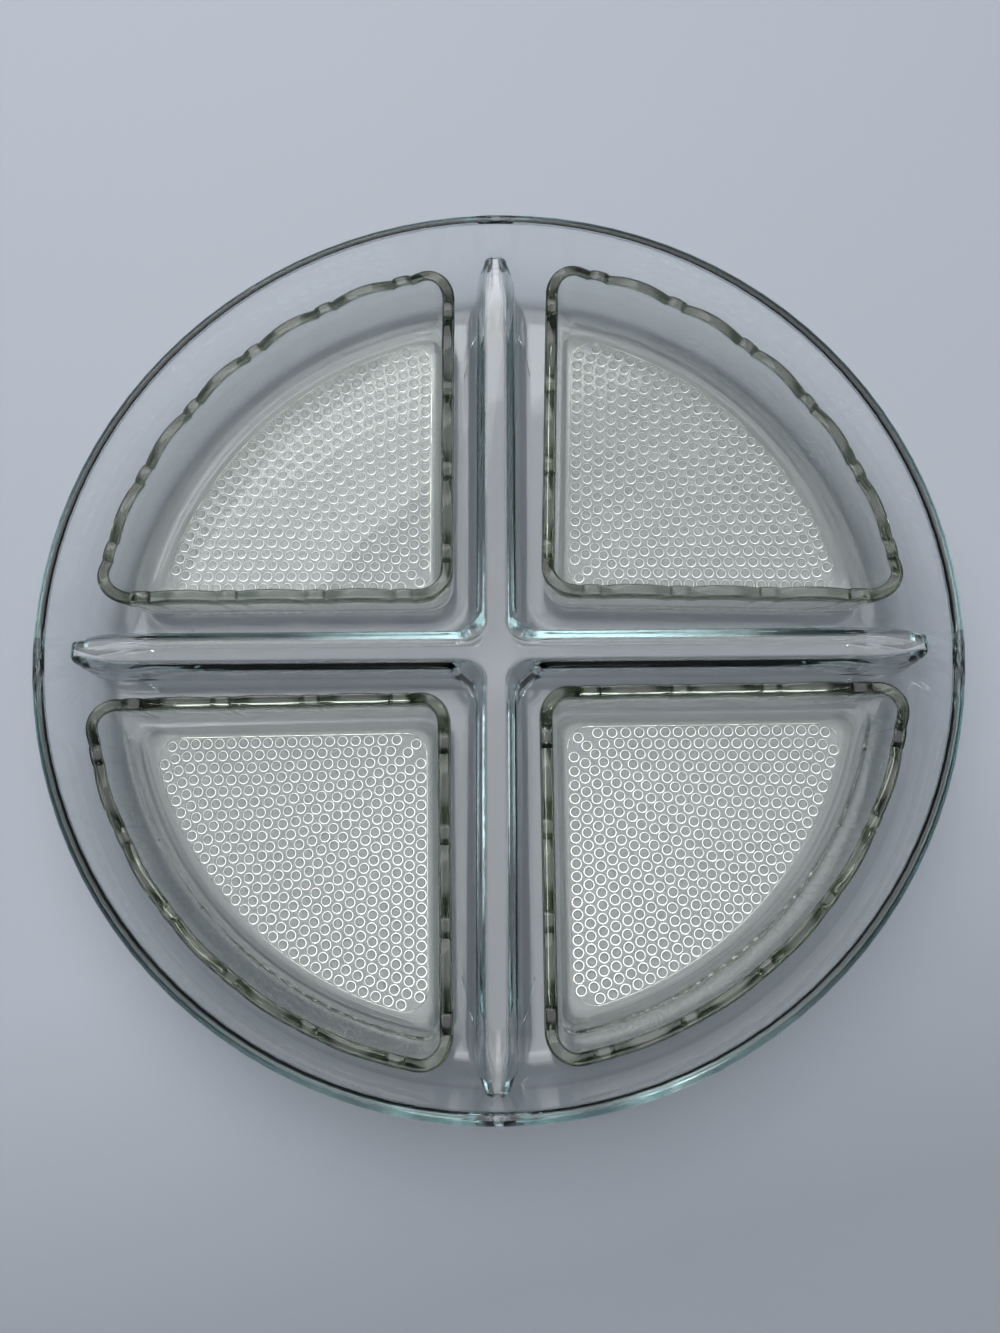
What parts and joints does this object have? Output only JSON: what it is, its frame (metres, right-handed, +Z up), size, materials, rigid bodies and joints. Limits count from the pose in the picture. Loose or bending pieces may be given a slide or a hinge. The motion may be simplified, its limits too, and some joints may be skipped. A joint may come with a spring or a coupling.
{
  "type": "serving dish",
  "caption": "Round clear-glass serving tray with a cross of folded ribs, hollow from below, and loose quarter-round glass inserts with knuckled rims and studded bases, which lift out.",
  "frame": {"origin": "middle of the foot ring's underside, on the dish axis", "axes": "+Z up along the dish axis, +X and +Y along two neighbouring ribs"},
  "size_m": [0.3198, 0.3198, 0.0439],
  "materials": {
    "tray_glass": "clear pressed glass, cool blue-green tint at the edges",
    "insert_glass": "clear pressed glass, faint olive-grey tint at the edges"
  },
  "bodies": {
    "tray": {"serving_tray": "tray_glass"},
    "back_right": {"insert_back_right": "insert_glass"},
    "back_left": {"insert_back_left": "insert_glass"},
    "front_left": {"insert_front_left": "insert_glass"},
    "front_right": {"insert_front_right": "insert_glass"}
  },
  "joints": [
    {"name": "lift_back_right", "type": "slide", "parent": "tray", "child": "back_right", "axis": [0, 0, 1], "range_m": [0, 0.05]},
    {"name": "lift_back_left", "type": "slide", "parent": "tray", "child": "back_left", "axis": [0, 0, 1], "range_m": [0, 0.05]},
    {"name": "lift_front_left", "type": "slide", "parent": "tray", "child": "front_left", "axis": [0, 0, 1], "range_m": [0, 0.05]},
    {"name": "lift_front_right", "type": "slide", "parent": "tray", "child": "front_right", "axis": [0, 0, 1], "range_m": [0, 0.05]}
  ]
}
